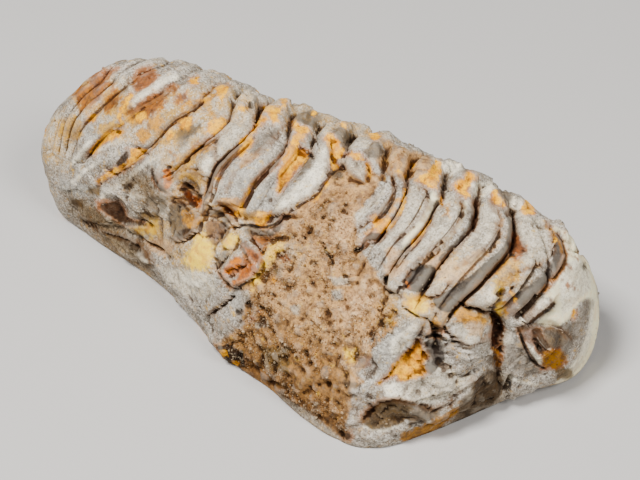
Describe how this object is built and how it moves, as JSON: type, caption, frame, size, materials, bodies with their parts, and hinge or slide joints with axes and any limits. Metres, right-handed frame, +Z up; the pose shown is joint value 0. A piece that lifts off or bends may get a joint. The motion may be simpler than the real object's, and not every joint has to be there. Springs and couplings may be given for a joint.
{
  "type": "asaphus trilobite fossil",
  "caption": "Natural trilobite fossil still in its limestone, ringed back and curved ribs on a flat base, lies loose on a shelf or in a case.",
  "frame": {"origin": "middle of the footprint, on the surface that the stone rests on", "axes": "+X along the fossil towards its head, +Z up, -Y towards the flank that shows the opened ribs"},
  "size_m": [0.1046, 0.0506, 0.0351],
  "materials": {
    "fossil_stone": "rough speckled grey limestone with ochre and rust stains, cream shell patches and crumbly sandy brown matrix"
  },
  "bodies": {
    "root": {"trilobite_fossil": "fossil_stone"}
  },
  "joints": []
}
